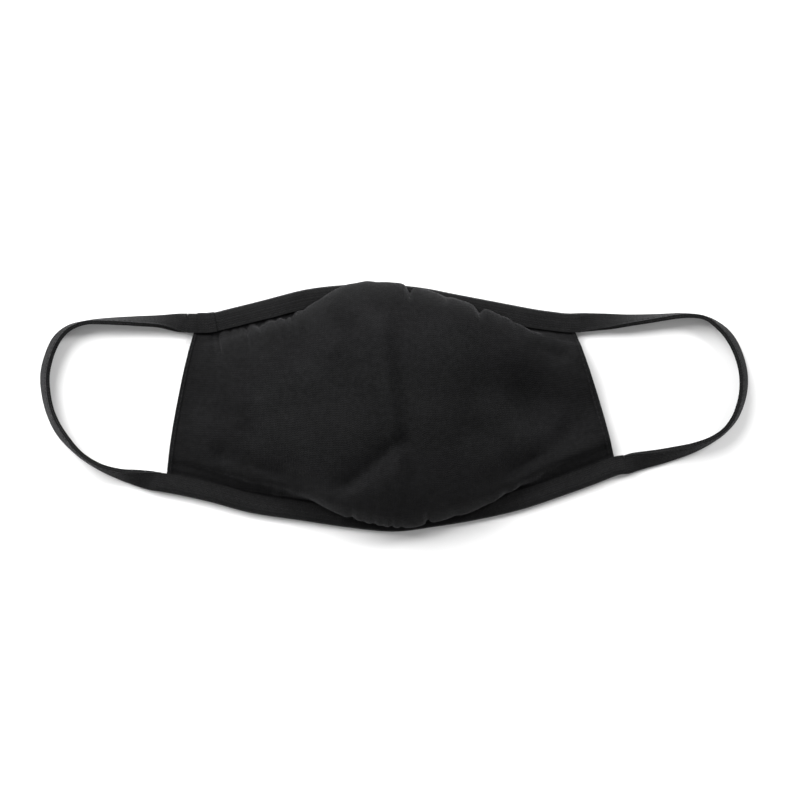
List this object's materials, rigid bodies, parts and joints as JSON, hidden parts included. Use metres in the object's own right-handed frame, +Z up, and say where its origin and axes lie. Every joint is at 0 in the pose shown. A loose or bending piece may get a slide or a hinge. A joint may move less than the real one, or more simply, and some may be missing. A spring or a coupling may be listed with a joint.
{
  "type": "cloth face mask",
  "caption": "Black cotton jersey face mask lying on its inner side: a gathered cup with hemmed sides, edged by one folded tape that runs on as the ear loops.",
  "frame": {"origin": "on the surface that the mask lies on, under the middle of its outline", "axes": "+X to the right as seen from outside the mask, +Y towards the nose edge, +Z up, out of the cup"},
  "size_m": [0.3536, 0.1245, 0.0363],
  "materials": {
    "jersey": "matte cotton jersey",
    "knit_tape": "matte folded knit tape"
  },
  "bodies": {
    "root": {"mask_panel": "jersey", "top_binding": "knit_tape", "left_ear_loop": "knit_tape", "bottom_binding": "knit_tape", "right_ear_loop": "knit_tape"}
  },
  "joints": []
}
